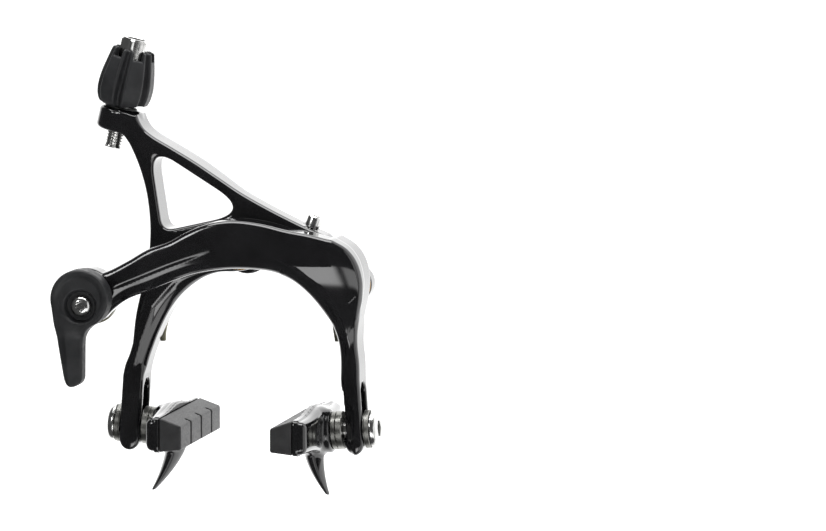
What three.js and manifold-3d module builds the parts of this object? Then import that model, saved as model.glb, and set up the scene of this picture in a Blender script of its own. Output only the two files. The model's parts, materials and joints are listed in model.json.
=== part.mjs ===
// Dual-pivot rim brake caliper for a road bicycle.
// Millimetres. +X is to the right as seen from the front, -Y is the front, +Z is up.
// The origin is on the mounting bolt's axis, at the rear face that clamps against the frame.

import * as THREE from 'three';
import { mergeVertices } from 'three/addons/utils/BufferGeometryUtils.js';
import Module from 'manifold-3d';

const wasm = await Module();
wasm.setup();

// ---------------------------------------------------------------- driving dimensions

const RIGHT = 1;
const LEFT = -1;
const SLIP = 0.15;                      // running gap round a pin or between sliding faces

const MOUNT = { radius: 3, rear: 20, front: -20.2 };
const WASHER = { front: -2.2, flat: 4.8, outer: 6.9, tooth: 0.45 };     // serrated, against the frame
const BRACKET = { back: -2.3, front: -7.7, hub: 7, boss: 5.6 };
const SIDE_PIVOT = { x: 30.4, z: -9.3, radius: 2.5, head: 5.2 };

const REAR_ARM = { back: -5.3, front: -17, hubBack: -8.4, relief: 9.6 };
const FRONT_ARM = { back: -5.4, front: -27.3, archBack: -17.4, shoulderBack: -8.4 };

const PAD_PLANE = -11;                  // Y of both pad bolts
const REACH = 50;                       // mounting bolt down to the pad bolts at their lowest
const LEAN = THREE.MathUtils.degToRad(4);       // how far the lower legs splay outwards
const SEAT = { inner: 29.1, outer: 35.1, top: -35.5 };  // leg faces at the height of the bolt
const SLOT = { halfWidth: 3.3, travel: 10 };
const PAD = { face: 12.7, root: 18.9, back: 23.6, boss: 25.6, front: -35, rear: 13 };
const PAD_BOLT = { radius: 2.7, end: 20.6, headIn: 36.9, headOut: 39, head: 5.4 };
const TOE_CENTRE = 20;                  // X of the centre that the domed washers share

const ADJUSTER = { x: -38.1, z: 28.5, tilt: THREE.MathUtils.degToRad(13.1) };
const BARREL = { thread: 2.5, cap: 4, top: 31.6 };
const GRIP = { bottom: 12.1, top: 28.6, slotFloor: 26 };
const ADJUSTER_BOSS = { radius: 5.8, bottom: 5, top: 11.4 };

const QUICK_RELEASE = { x: -42.1, z: -12.4, head: 8.3, front: -34.5, back: -28.1 };
const CABLE_BOLT = { x: -41.8, z: -14.4, radius: 1.6 };

const CENTRING = { x: 17, z: -1, tilt: THREE.MathUtils.degToRad(20), y: -12.5 };

// ---------------------------------------------------------------- materials

function finish(color, roughness, metalness) {
  return new THREE.MeshStandardMaterial({ color, roughness, metalness });
}

const glossBlack = () => finish(0x08080a, 0.12, 0.1);
const satinBlack = () => finish(0x141416, 0.45, 0);
const steel = () => finish(0xb8b8b6, 0.28, 1);
const darkSteel = () => finish(0x4a4a42, 0.4, 1);
const bronze = () => finish(0x9a7a45, 0.45, 1);
const rubber = () => finish(0x262628, 0.85, 0);

// ---------------------------------------------------------------- solids

const v2 = (x, z) => new THREE.Vector2(x, z);
const points = (...pairs) => pairs.map(([x, z]) => v2(x, z));

// A plate drawn in the XZ plane that fills front <= y <= back.
function plate(shape, front, back, bevel = 0, curveSegments = 3) {
  const geometry = new THREE.ExtrudeGeometry(shape, {
    depth: back - front - 2 * bevel,
    steps: 1,
    curveSegments,
    bevelEnabled: bevel > 0,
    bevelThickness: bevel,
    bevelSize: bevel,
    bevelOffset: -bevel,
    bevelSegments: 1,
  });
  geometry.rotateX(Math.PI / 2);
  geometry.translate(0, back - bevel, 0);
  return geometry;
}

// A solid of revolution along +Y from [radius, y] pairs. The profile runs towards +Y.
function turned(profile, segments = 24) {
  return new THREE.LatheGeometry(profile.map(([r, y]) => v2(Math.max(r, 0), y)), segments);
}

// A ring is a closed profile: out along its bore and back along its outside.
function ring(inner, outer, from, to, segments = 24) {
  const corners = [[inner, from], [outer, from], [outer, to], [inner, to], [inner, from]];
  return turned(corners, segments);
}

function hexNut(bore, corner, from, to) {
  const body = turned([[0, from], [corner - 0.5, from], [corner, from + 0.5], [corner, to], [0, to]], 6);
  return cut(body, turned([[0, from - 1], [bore, from - 1], [bore, to + 1], [0, to + 1]]));
}

function box(x0, x1, y0, y1, z0, z1) {
  const geometry = new THREE.BoxGeometry(x1 - x0, y1 - y0, z1 - z0);
  return geometry.translate((x0 + x1) / 2, (y0 + y1) / 2, (z0 + z1) / 2);
}

// Rings of points joined into one closed skin, with a fan over each end.
function loft(rings) {
  const count = rings[0].length;
  const positions = rings.flat().flatMap((p) => [p.x, p.y, p.z]);
  const index = [];
  for (let i = 0; i < rings.length - 1; i++) {
    for (let j = 0; j < count; j++) {
      const a = i * count + j;
      const b = i * count + ((j + 1) % count);
      index.push(a, b, b + count, a, b + count, a + count);
    }
  }
  for (const [start, last] of [[0, false], [(rings.length - 1) * count, true]]) {
    for (let j = 1; j < count - 1; j++) {
      const [p, q] = last ? [start + j, start + j + 1] : [start + j + 1, start + j];
      index.push(start, p, q);
    }
  }
  const geometry = new THREE.BufferGeometry();
  geometry.setAttribute('position', new THREE.Float32BufferAttribute(positions, 3));
  geometry.setIndex(index);
  return volume(geometry) > 0 ? geometry : turnedInsideOut(geometry);
}

// Six times the enclosed volume; negative where the faces point inwards.
function volume(geometry) {
  const { position } = geometry.attributes;
  const index = geometry.index.array;
  const corner = (i) => new THREE.Vector3().fromBufferAttribute(position, index[i]);
  let total = 0;
  for (let i = 0; i < index.length; i += 3) {
    total += corner(i).dot(corner(i + 1).cross(corner(i + 2)));
  }
  return total;
}

function turnedInsideOut(geometry) {
  const index = geometry.index.array;
  for (let i = 0; i < index.length; i += 3) {
    [index[i], index[i + 1]] = [index[i + 1], index[i]];
  }
  return geometry;
}

function solid(geometry) {
  const bare = geometry.clone();
  bare.deleteAttribute('normal');
  bare.deleteAttribute('uv');
  const merged = geometry.attributes.normal ? mergeVertices(bare, 1e-4) : bare;
  return new wasm.Manifold(new wasm.Mesh({
    numProp: 3,
    vertProperties: new Float32Array(merged.attributes.position.array),
    triVerts: new Uint32Array(merged.index.array),
  }));
}

function geometryOf(manifold) {
  const { vertProperties, triVerts } = manifold.getMesh();
  const geometry = new THREE.BufferGeometry();
  geometry.setAttribute('position', new THREE.BufferAttribute(vertProperties, 3));
  geometry.setIndex(new THREE.BufferAttribute(triVerts, 1));
  return geometry;
}

const joined = (...parts) => geometryOf(parts.map(solid).reduce((a, b) => a.add(b)));
const cut = (body, ...tools) => geometryOf(tools.map(solid).reduce((a, b) => a.subtract(b), solid(body)));
const shared = (a, b) => geometryOf(solid(a).intersect(solid(b)));

// The right-hand part turned over to the left, with its faces still pointing out.
function mirrored(geometry) {
  const copy = geometry.index ? geometry.clone() : mergeVertices(geometry, 1e-4);
  return turnedInsideOut(copy.scale(-1, 1, 1));
}

const onSide = (side, geometry) => (side === RIGHT ? geometry : mirrored(geometry));

function at(geometry, x, z) {
  return geometry.translate(x, 0, z);
}

// ---------------------------------------------------------------- assembly

const caliper = new THREE.Group();

function add(name, geometry, material, parent = caliper) {
  const mesh = new THREE.Mesh(geometry, material);
  mesh.name = name;
  parent.add(mesh);
  return mesh;
}

// ---------------------------------------------------------------- outlines

function circle(x, z, radius) {
  return new THREE.Shape().absarc(x, z, radius, 0, 2 * Math.PI);
}

// A polygon whose corners are rounded, corner by corner: [x, z, radius].
function rounded(path, corners) {
  const count = corners.length;
  corners.forEach(([x, z, radius], i) => {
    const here = v2(x, z);
    const back = v2(...corners[(i + count - 1) % count]).sub(here).normalize();
    const on = v2(...corners[(i + 1) % count]).sub(here).normalize();
    const reach = radius / Math.tan(back.angleTo(on) / 2);
    const enter = here.clone().addScaledVector(back, reach);
    const leave = here.clone().addScaledVector(on, reach);
    if (i === 0) path.moveTo(enter.x, enter.y);
    else path.lineTo(enter.x, enter.y);
    path.quadraticCurveTo(x, z, leave.x, leave.y);
  });
  path.closePath();
  return path;
}

// X of a leg's seat face at height z; the legs splay outwards towards their ends.
const seatX = (x, z) => x + (-REACH - z) * Math.tan(LEAN);
const LEG_END = -57.2;

function rearArmShape() {
  const shape = new THREE.Shape();
  shape.moveTo(-34.8, 34.4);
  shape.splineThru(points([-33.2, 31.9], [-31.3, 28.8], [-28.7, 22.5], [-26.8, 15], [-26, 6],
    [-26.7, -3], [-28.8, -11.9], [-30.3, -18.7], [-31.2, -26.4]));
  shape.splineThru(points([-32.1, -29.4], [-33.4, -32.6], [-seatX(SEAT.outer, SEAT.top), SEAT.top]));
  shape.lineTo(-seatX(SEAT.outer, -52.5), -52.5);
  shape.bezierCurveTo(-35.7, LEG_END - 1, -29.6, LEG_END - 1, -seatX(SEAT.inner, -53.5), -53.5);
  shape.lineTo(-seatX(SEAT.inner, SEAT.top), SEAT.top);
  shape.splineThru(points([-27.3, -32.3], [-26.1, -28.6], [-23.9, -23], [-20.6, -16.6],
    [-16.5, -11.6], [-11, -7.6], [-6, -5.8], [-1, -5.5], [3.6, -4.4], [9, -1.4], [16, 0.2], [22, 0.9]));
  shape.splineThru(points([24.9, 1.6], [25.9, 3.3], [24.5, 5.1]));
  shape.splineThru(points([17.4, 8.1], [9, 12.1], [0.7, 16.5], [-6.2, 20.9],
    [-12.9, 25.2], [-19.8, 29.2], [-24.8, 32],
    [-27.6, 34.2], [-29, 36.4], [-29.6, 38.1]));
  shape.lineTo(-34.8, 39.3);
  shape.closePath();
  const window = [[-26.1, 29.6, 2.3], [-22.4, 5.5, 2], [3.1, 11.4, 2.2]];
  shape.holes.push(rounded(new THREE.Path(), window));
  return shape;
}

// A point on a circle, at an angle in degrees from +X towards +Z.
function onCircle({ x, z, radius }, degrees) {
  const angle = THREE.MathUtils.degToRad(degrees);
  return [x + radius * Math.cos(angle), z + radius * Math.sin(angle)];
}

function frontArmShape() {
  const shape = new THREE.Shape();
  const boss = { x: -42, z: -12.3, radius: 8 };
  const [neckTop, neckFoot] = [55, -53];
  shape.moveTo(...onCircle(boss, neckTop));
  shape.splineThru(points([-34.4, -4.5], [-29.6, -1.9], [-24.3, 1.2], [-18.5, 3.4], [-13.4, 6.1],
    [-8.9, 8.1], [-4, 9.4], [1.5, 9.8], [8.4, 9], [15.4, 7.4], [22, 6.2], [28.1, 4.6]));
  shape.splineThru(points([32, 2.2], [34.7, -1.6], [35.9, -6.6], [35.6, -11.6], [34.5, -17],
    [33.6, -22], [33.5, -26], [34, -31], [seatX(SEAT.outer, SEAT.top), SEAT.top]));
  shape.lineTo(seatX(SEAT.outer, -52.5), -52.5);
  shape.bezierCurveTo(35.7, LEG_END - 1, 29.6, LEG_END - 1, seatX(SEAT.inner, -53.5), -53.5);
  shape.lineTo(seatX(SEAT.inner, SEAT.top), SEAT.top);
  shape.splineThru(points([28.2, -30], [27.8, -25], [26.6, -20.5], [24.4, -16], [21.3, -11.4],
    [17.5, -7.6], [13.1, -5.2], [7.8, -4.1], [-1.2, -4], [-10.2, -5.3], [-16.6, -7.4],
    [-23.8, -10.4], [-30.2, -12.9], [-34.4, -15.8], onCircle(boss, neckFoot)));
  const [from, to] = [neckFoot, neckTop].map(THREE.MathUtils.degToRad);
  shape.absarc(boss.x, boss.z, boss.radius, from, to, true);
  shape.closePath();
  return shape;
}

function bracketShape() {
  const shape = new THREE.Shape();
  const { x, z } = SIDE_PIVOT;
  shape.absarc(0, 0, BRACKET.hub, THREE.MathUtils.degToRad(70), THREE.MathUtils.degToRad(310));
  shape.splineThru(points([9, -4.6], [16, -4.9], [22, -8.2], [25.4, -12]));
  shape.absarc(x, z, BRACKET.boss, THREE.MathUtils.degToRad(210), THREE.MathUtils.degToRad(85));
  shape.splineThru(points([22, 1.2], [12, 4.4], [5, 6.2]));
  return shape;
}

function leverShape() {
  const { x, z, head } = QUICK_RELEASE;
  const shape = new THREE.Shape();
  shape.absarc(x, z, head, THREE.MathUtils.degToRad(-62), THREE.MathUtils.degToRad(193));
  shape.splineThru(points([-48.6, -25], [-46.9, -34.2]));
  shape.quadraticCurveTo(-46.4, -37.3, -44.2, -37.2);
  shape.quadraticCurveTo(-41.7, -36.8, -41.6, -34);
  shape.lineTo(-41.5, -25.5);
  shape.splineThru(points([-41.3, -23.4], [-40.3, -21.4], [-38.6, -19.9]));
  return shape;
}

// ---------------------------------------------------------------- fixed parts

function makeBracket() {
  const { x, z, radius } = SIDE_PIVOT;
  const body = plate(bracketShape(), BRACKET.front, BRACKET.back, 0.5, 4);
  const mountHole = turned([[0, -9], [MOUNT.radius + SLIP, -9], [MOUNT.radius + SLIP, 0], [0, 0]]);
  const pivotHole = turned([[0, -9], [radius + SLIP, -9], [radius + SLIP, 0], [0, 0]]);
  add('bracket', cut(body, mountHole, at(pivotHole, x, z)), glossBlack());
}

function makeCentreBolt() {
  const { radius, rear, front } = MOUNT;
  const profile = [[0, front], [radius - 0.5, front], [radius, front + 0.5],
    [radius, rear - 0.8], [radius - 0.8, rear], [0, rear]];
  add('mounting_bolt', turned(profile), steel());
  add('mounting_washer', serratedWasher(), steel());
  const bore = radius + SLIP;
  add('centre_pivot_nut', hexNut(bore, 4.62, -20.1, -17.65), steel());
  add('centre_pivot_front_washer', ring(bore, 5, -17.5, -17.1), bronze());
  add('centre_pivot_rear_washer', ring(bore, 5.3, -8.3, -7.8), bronze());
}

// The washer that bites into the frame has radial teeth round a flat ring on its rear face.
function serratedWasher() {
  const teeth = 20;
  const bore = MOUNT.radius + SLIP;
  const { front, flat, outer, tooth } = WASHER;
  const profile = [[bore, front], [outer, front], [outer, 0], [flat, 0], [bore, 0], [bore, front]];
  const washer = turned(profile, 2 * teeth);
  const position = washer.attributes.position;
  for (let i = 0; i < position.count; i++) {
    const step = Math.round(Math.atan2(position.getX(i), position.getZ(i)) / (Math.PI / teeth));
    const radius = Math.hypot(position.getX(i), position.getZ(i));
    if (position.getY(i) > -1 && radius > flat + 0.1 && step % 2 !== 0) position.setY(i, -tooth);
  }
  return washer;
}

function makeSidePivot() {
  const { x, z, radius, head } = SIDE_PIVOT;
  const profile = [[0, -20.6], [radius - 0.4, -20.6], [radius, -20.2], [radius, -2.2],
    [head, -2.2], [head, -0.9], [head - 0.8, -0.15], [0, -0.15]];
  const socket = turned([[0, -1.9], [2.3, -1.9], [2.3, 1], [0, 1]], 6);
  add('side_pivot_bolt', at(cut(turned(profile), socket), x, z), satinBlack());
  add('side_pivot_washer', at(ring(radius + SLIP, 5.4, -8.3, -7.8), x, z), bronze());
}

// One wire over the top of the mounting washer, its two ends pressing the legs outwards.
function makeReturnSpring() {
  const wire = 1;
  const back = -1.25;
  const route = [
    [-25.4, -4, -27], [-25, -3.9, -24], [-23.6, -2.4, -18.5], [-20.4, back, -12.4], [-15, back, -6.6],
    [-9.8, back, -2.6], [-8.3, back, 2.4], [-5, back, 7], [0, back, 8.7], [5, back, 7],
    [8.3, back, 2.4], [10.4, back, -2.2], [15.2, back, -6.4], [20.6, back, -11.6], [24, -2.4, -17.6],
    [25.4, -3.9, -23], [25.6, -4, -26],
  ].map(([x, y, z]) => new THREE.Vector3(x, y, z));
  const spring = new THREE.ExtrudeGeometry(circle(0, 0, wire), {
    steps: 44,
    curveSegments: 4,
    extrudePath: new THREE.CatmullRomCurve3(route),
    bevelEnabled: false,
  });
  add('return_spring', spring, darkSteel());
}

// ---------------------------------------------------------------- parts shared by both arms

// The slot that the pad bolt slides in, cut square to the leaning leg.
function padSlot() {
  const shape = new THREE.Shape();
  shape.absarc(0, 0, SLOT.halfWidth, Math.PI, 2 * Math.PI);
  shape.absarc(0, SLOT.travel, SLOT.halfWidth, 0, Math.PI);
  const slot = new THREE.ExtrudeGeometry(shape, { depth: 16, curveSegments: 10, bevelEnabled: false });
  slot.rotateX(Math.PI / 2).rotateZ(Math.PI / 2);
  slot.translate(-8, 0, 0);
  return toLeg(slot);
}

// From a frame on the bolt's axis, +X outwards and +Z up the leg, to the right leg's bolt.
const LEG_MIDDLE = (SEAT.inner + SEAT.outer) / 2;

function toLeg(geometry) {
  return geometry.rotateY(-LEAN).translate(LEG_MIDDLE, PAD_PLANE, -REACH);
}

// A turned piece on the pad bolt's axis; its profile gives [radius, x].
function onPadBolt(profile, segments = 24) {
  const local = turned(profile.map(([r, x]) => [r, x - LEG_MIDDLE]), segments);
  return toLeg(local.rotateZ(-Math.PI / 2).rotateX(Math.PI / 2));
}

// Points of a dome about the toe centre, from its bore out to its rim or back.
function dome(radius, from, to, steps = 2) {
  return Array.from({ length: steps + 1 }, (_, i) => {
    const r = from + ((to - from) * i) / steps;
    return [r, TOE_CENTRE + Math.sqrt(radius * radius - r * r)];
  });
}

function makePadHardware(side, name) {
  const bore = 3.5;
  const rim = 5.4;
  const innerDome = 9;
  const outerDome = 16.35;
  const innerSeat = SEAT.inner - SLIP;
  const outerSeat = SEAT.outer + SLIP;
  const piece = (part, profile, material) => {
    add(`${name}_${part}`, onSide(side, onPadBolt(profile)), material);
  };
  piece('inner_cup_washer',
    [...dome(innerDome, bore, rim), [rim, innerSeat], [bore, innerSeat], dome(innerDome, bore, rim)[0]], steel());
  piece('inner_dome_washer',
    [[2.85, PAD.boss + SLIP], [rim, PAD.boss + SLIP], ...dome(innerDome - SLIP, rim, 2.85), [2.85, PAD.boss + SLIP]],
    steel());
  piece('outer_dome_washer',
    [[bore, outerSeat], [rim, outerSeat], ...dome(outerDome, rim, bore), [bore, outerSeat]], steel());
  piece('outer_cup_washer',
    [...dome(outerDome + SLIP, 2.85, rim), [rim, PAD_BOLT.headIn - SLIP], [2.85, PAD_BOLT.headIn - SLIP],
      dome(outerDome + SLIP, 2.85, rim)[0]], steel());
  makePadBolt(side, name);
}

function makePadBolt(side, name) {
  const { radius, end, headIn, headOut, head } = PAD_BOLT;
  const profile = [[0, end], [radius - 0.4, end], [radius, end + 0.4], [radius, headIn],
    [head - 0.2, headIn], [head, headIn + 0.3], [head - 0.3, headOut - 0.7], [head - 1.2, headOut], [0, headOut]];
  const socket = onPadBolt([[0, headOut - 2.2], [2.3, headOut - 2.2], [2.3, headOut + 1], [0, headOut + 1]], 6);
  add(`${name}_bolt`, onSide(side, cut(onPadBolt(profile), socket)), steel());
}

// Half height of the holder along its length: tallest round the bolt, lower at the ends.
function holderHalfHeight(y) {
  const reach = (y - PAD_PLANE) / 24;
  return 4.6 + 1.7 * Math.exp(-Math.pow(reach / 0.42, 2));
}

function holderRing(y, shrink) {
  const half = holderHalfHeight(y) - shrink;
  const { root, back } = PAD;
  const inner = root + 0.25;
  const outer = back - shrink;
  const profile = [[inner, -half], [outer - 1.6, -half], [outer - 0.4, -half * 0.72], [outer, -half * 0.3],
    [outer, half * 0.3], [outer - 0.4, half * 0.72], [outer - 1.6, half], [inner, half]];
  return profile.map(([x, z]) => new THREE.Vector3(x, y, z - REACH));
}

function holderBody() {
  const stations = 14;
  const rings = [holderRing(PAD.front, 0.8)];
  for (let i = 0; i <= stations; i++) {
    rings.push(holderRing(THREE.MathUtils.lerp(PAD.front + 0.9, PAD.rear - 0.9, i / stations), 0));
  }
  rings.push(holderRing(PAD.rear, 0.8));
  return loft(rings);
}

// The wheel guide: a horn below the holder that hooks down, forwards and outwards to a point.
const HORN = { root: -55, tip: -68 };

function wheelGuide() {
  const stations = 8;
  const rings = [];
  for (let i = 0; i <= stations; i++) {
    const t = i / stations;
    const fall = THREE.MathUtils.lerp(HORN.root, HORN.tip, t);
    const middleX = 19.9 + 5.4 * Math.pow(t, 1.7);
    const middleY = -10.2 - 6.2 * t;
    const wide = 3.1 - 2.55 * Math.pow(t, 1.3);
    const deep = 6 - 5 * Math.pow(t, 0.9);
    rings.push(Array.from({ length: 8 }, (_, j) => {
      const angle = (-j * Math.PI) / 4;
      return new THREE.Vector3(middleX + wide * Math.cos(angle), middleY + deep * Math.sin(angle), fall);
    }));
  }
  return loft(rings.reverse());
}

function makePad(side, name) {
  const boss = onPadBolt([[0, 21.6], [6.4, 21.6], [6.4, PAD.boss - 0.7], [5.7, PAD.boss], [0, PAD.boss]]);
  const boltHole = onPadBolt([[0, 20.2], [PAD_BOLT.radius + SLIP, 20.2], [PAD_BOLT.radius + SLIP, 27], [0, 27]]);
  const holder = cut(joined(holderBody(), boss, wheelGuide()), boltHole, lockScrewHole());
  add(`${name}_holder`, onSide(side, holder), glossBlack());
  add(`${name}_insert`, onSide(side, padInsert()), rubber());
  add(`${name}_lock_screw`, onSide(side, lockScrew()), darkSteel());
}

function padInsert() {
  const { face, root, front, rear } = PAD;
  const section = (y) => [[face, -4], [root, -4.7], [root, 4.9], [face, 2.7]]
    .map(([x, z]) => new THREE.Vector3(x, y, z - REACH));
  const body = loft([section(front), section(rear)]);
  const grooves = [-22.6, -10.2, 2.2].map((y) => box(face - 1, face + 1.9, y - 0.6, y + 0.6, -REACH - 8, -REACH + 8));
  return cut(body, ...grooves);
}

// A small screw through the holder's back, behind the bolt, that keeps the insert in.
const LOCK_SCREW = { y: 3.4, radius: 1.2 };

function lockScrew() {
  const profile = [[0, 20.6], [LOCK_SCREW.radius, 20.6], [LOCK_SCREW.radius, 23.1], [0, 23.1]];
  return turned(profile, 16).rotateZ(-Math.PI / 2).translate(0, LOCK_SCREW.y, -REACH);
}

function lockScrewHole() {
  const radius = LOCK_SCREW.radius + SLIP;
  const profile = [[0, 20.3], [radius, 20.3], [radius, 25], [0, 25]];
  return turned(profile, 16).rotateZ(-Math.PI / 2).translate(0, LOCK_SCREW.y, -REACH);
}

// A plastic block behind each leg, which the end of the spring pushes on.
function makeSpringSlider(side, name) {
  const block = new THREE.Shape();
  rounded(block, [[26.9, -19.5, 0.8], [29.9, -19.5, 0.8], [30.5, -28.5, 0.8], [26.9, -28.5, 0.8]]);
  add(name, onSide(side, plate(block, -5.1, -2.7, 0.3)), satinBlack());
}

// ---------------------------------------------------------------- rear arm

function makeRearArm() {
  const { front, back, hubBack, relief } = REAR_ARM;
  const body = plate(rearArmShape(), front, back, 0.8);
  const bushHole = turned([[0, -20], [3.95 + SLIP, -20], [3.95 + SLIP, 0], [0, 0]]);
  const reliefHub = turned([[0, hubBack], [relief, hubBack], [relief, 0], [0, 0]]);
  const reliefTail = box(0, 40, hubBack, 0, -20, 15.5);
  const boss = inAdjusterFrame(adjusterBoss());
  const threadHole = inAdjusterFrame(turned([[0, -2], [2.7, -2], [2.7, 20], [0, 20]], 24).rotateX(Math.PI / 2));
  const screwHole = inCentringFrame(turned([[0, -3], [1.6, -3], [1.6, 14], [0, 14]], 16).rotateX(Math.PI / 2));
  const seat = inCentringFrame(turned([[0, 8.6], [2.6, 8.6], [2.6, 16], [0, 16]], 16).rotateX(Math.PI / 2));
  const arm = cut(joined(body, boss), bushHole, reliefHub, reliefTail, threadHole, screwHole, seat,
    mirrored(padSlot()));
  add('rear_arm', arm, glossBlack());
  const bush = ring(MOUNT.radius + SLIP, 3.95, -16.9, -8.5);
  add('rear_arm_bush', bush, bronze());
  makeSpringSlider(LEFT, 'rear_arm_spring_slider');
}

function inAdjusterFrame(geometry) {
  return geometry.rotateY(ADJUSTER.tilt).translate(ADJUSTER.x, PAD_PLANE, ADJUSTER.z);
}

function inCentringFrame(geometry) {
  return geometry.rotateY(CENTRING.tilt).translate(CENTRING.x, CENTRING.y, CENTRING.z);
}

function adjusterBoss() {
  const { radius, bottom, top } = ADJUSTER_BOSS;
  const profile = [[0, bottom], [radius - 1.4, bottom], [radius - 0.3, bottom + 0.6], [radius, bottom + 1.6],
    [radius, top - 1], [radius - 1, top], [0, top]];
  return turned(profile, 32).rotateX(Math.PI / 2);
}

// The centring screw stands in the arm's tail and its tip meets the ledge of the front arm.
function makeCentringScrew() {
  const profile = [[0, 0], [0.8, 0], [1.3, 0.5], [1.3, 8.8], [2.2, 8.8], [2.2, 11.6], [1.8, 12], [0, 12]];
  const socket = turned([[0, 10.4], [1.15, 10.4], [1.15, 13], [0, 13]], 6);
  const screw = cut(turned(profile, 24), socket).rotateX(Math.PI / 2);
  add('centring_screw', inCentringFrame(screw), steel());
}

// ---------------------------------------------------------------- cable adjuster

// Radius of the grip at height s and angle a: six flat-faced lobes, widest below the middle.
function gripRadius(s, a) {
  const t = (s - GRIP.bottom) / (GRIP.top - GRIP.bottom);
  const face = 5.65 + 1.85 * Math.sin(Math.PI * Math.pow(t, 0.62));
  const pitch = Math.PI / 3;
  const offCentre = Math.abs(a - pitch * Math.round(a / pitch));
  const groove = offCentre > 0.4 ? 0.8 : 1;
  return (groove * face) / Math.cos(offCentre);
}

function gripBody() {
  const around = 36;
  const heights = [GRIP.bottom, 13, 14.4, 16.6, 19.4, 22.4, 25.6, GRIP.top];
  return loft(heights.map((s) => Array.from({ length: around }, (_, j) => {
    const a = (2 * Math.PI * j) / around;
    const r = gripRadius(s, a);
    return new THREE.Vector3(r * Math.cos(a), r * Math.sin(a), s);
  })));
}

function makeAdjuster() {
  const { thread, cap, top } = BARREL;
  const shell = turned([[1.2, 0], [thread - 0.3, 0], [thread, 0.4], [thread, 13], [3.4, 13], [3.4, 25.4],
    [cap, 25.4], [cap, top - 0.4], [cap - 0.4, top], [2.6, top], [2.6, 20], [1.2, 19], [1.2, 0]], 24);
  const flats = Array.from({ length: 6 }, (_, i) => box(-2, 2, 3.72, 6, 25, top + 1)
    .rotateZ((i * Math.PI) / 3 + Math.PI / 6));
  const barrel = cut(shell.rotateX(Math.PI / 2), ...flats);
  add('adjuster_barrel', inAdjusterFrame(barrel), steel());
  const bore = 3.4 + SLIP;
  const gripBore = turned([[0, 11], [bore, 11], [bore, 25.2], [cap + 0.2, 25.2], [cap + 0.2, 32], [0, 32]], 24);
  const grip = cut(gripBody(), gripBore.rotateX(Math.PI / 2), ...gripSlots());
  add('adjuster_grip', inAdjusterFrame(grip), satinBlack());
  add('adjuster_seal', inAdjusterFrame(ring(2.65, 4.6, 11.5, 12, 24).rotateX(Math.PI / 2)), rubber());
}

// Six slots in the top of the lobes, that show the flats of the barrel's cap.
function gripSlots() {
  return Array.from({ length: 6 }, (_, i) => box(3, 9, -1.4, 1.4, GRIP.slotFloor, 32).rotateZ((i * Math.PI) / 3));
}

// ---------------------------------------------------------------- front arm

// The arch lies in front of the rear arm; the shoulder and leg reach back past it.
function frontArmEnvelope() {
  const { front, back, archBack, shoulderBack } = FRONT_ARM;
  const arch = box(-60, 45, front - 1, archBack, -20, 20);
  const deep = new THREE.Shape(points([13.6, -1.6], [27.4, -1.6], [27.9, 12], [45, 12], [45, -62], [13.6, -62]));
  const zone = joined(arch, plate(deep, front - 1, back + 1));
  const side = new THREE.Shape();
  side.moveTo(shoulderBack, 12);
  side.lineTo(front - 1, 12);
  side.lineTo(front - 1, -4);
  side.splineThru(points([-26.4, -8], [-23.8, -13], [-20.6, -19], [-18, -25], [-16.7, -32], [-16.5, -40]));
  side.lineTo(-16.5, -60);
  side.lineTo(back, -60);
  side.lineTo(back, -21);
  side.lineTo(shoulderBack, -18);
  side.closePath();
  const sideSolid = new THREE.ExtrudeGeometry(side, { depth: 34, curveSegments: 2, bevelEnabled: false });
  sideSolid.rotateX(Math.PI / 2).rotateZ(Math.PI / 2).translate(12, 0, 0);
  return shared(zone, joined(sideSolid, box(-60, 12.1, front - 1, -5, -22, 20)));
}

function makeFrontArm() {
  const { front, back } = FRONT_ARM;
  const { x, z } = SIDE_PIVOT;
  const outline = plate(frontArmShape(), front, back, 0.8);
  const nutPocket = box(-6.3, 5.6, -20.7, -17, -12, 5.4);
  const pivotHole = at(turned([[0, -20.9], [3.5 + SLIP, -20.9], [3.5 + SLIP, -5], [0, -5]]), x, z);
  const camHole = at(turned([[0, -30], [5.1, -30], [5.1, -10], [0, -10]]), QUICK_RELEASE.x, QUICK_RELEASE.z);
  const neckBack = box(-60, -30, -19.5, -10, -30, 10);
  const arm = cut(shared(outline, frontArmEnvelope()), nutPocket, pivotHole, camHole, neckBack, padSlot());
  add('front_arm', arm, glossBlack());
  add('front_arm_bush', at(ring(SIDE_PIVOT.radius + SLIP, 3.5, -20.7, -8.5), x, z), bronze());
  makeSpringSlider(RIGHT, 'front_arm_spring_slider');
}

// ---------------------------------------------------------------- quick release

function makeQuickRelease() {
  const { x, z, front, back } = QUICK_RELEASE;
  const bolt = CABLE_BOLT;
  const bore = bolt.radius + SLIP;
  const hole = () => at(turned([[0, -40], [bore, -40], [bore, -10], [0, -10]], 24), bolt.x, bolt.z);
  const recess = at(turned([[0, -40], [4.2, -40], [4.2, front + 2.2], [0, front + 2.2]]), bolt.x, bolt.z);
  add('quick_release_lever', cut(plate(leverShape(), front, back, 0.9, 5), recess, hole()), satinBlack());
  const cam = at(turned([[0, -27.95], [4.95, -27.95], [4.95, -19.2], [0, -19.2]]), x, z);
  add('quick_release_cam', cut(cam, hole()), steel());
  add('quick_release_washer', at(ring(5.25, 7.3, -28, -27.45), x, z), darkSteel());
  const screw = [[0, -34.3], [1.2, -34.2], [2.2, -33.8], [3, -32.9], [3, -32.4], [bolt.radius, -32.4],
    [bolt.radius, -13.1], [0, -13.1]];
  const socket = turned([[0, -36], [1.15, -36], [1.15, -33], [0, -33]], 6);
  add('cable_bolt', at(cut(turned(screw), socket), bolt.x, bolt.z), steel());
  add('cable_clamp_washer', at(ring(bore, 6.5, -18.9, -16.4), bolt.x, bolt.z), darkSteel());
  add('cable_clamp_nut', at(hexNut(bore, 4.2, -16.2, -13.4), bolt.x, bolt.z), steel());
}

// ---------------------------------------------------------------- the whole caliper

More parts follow.
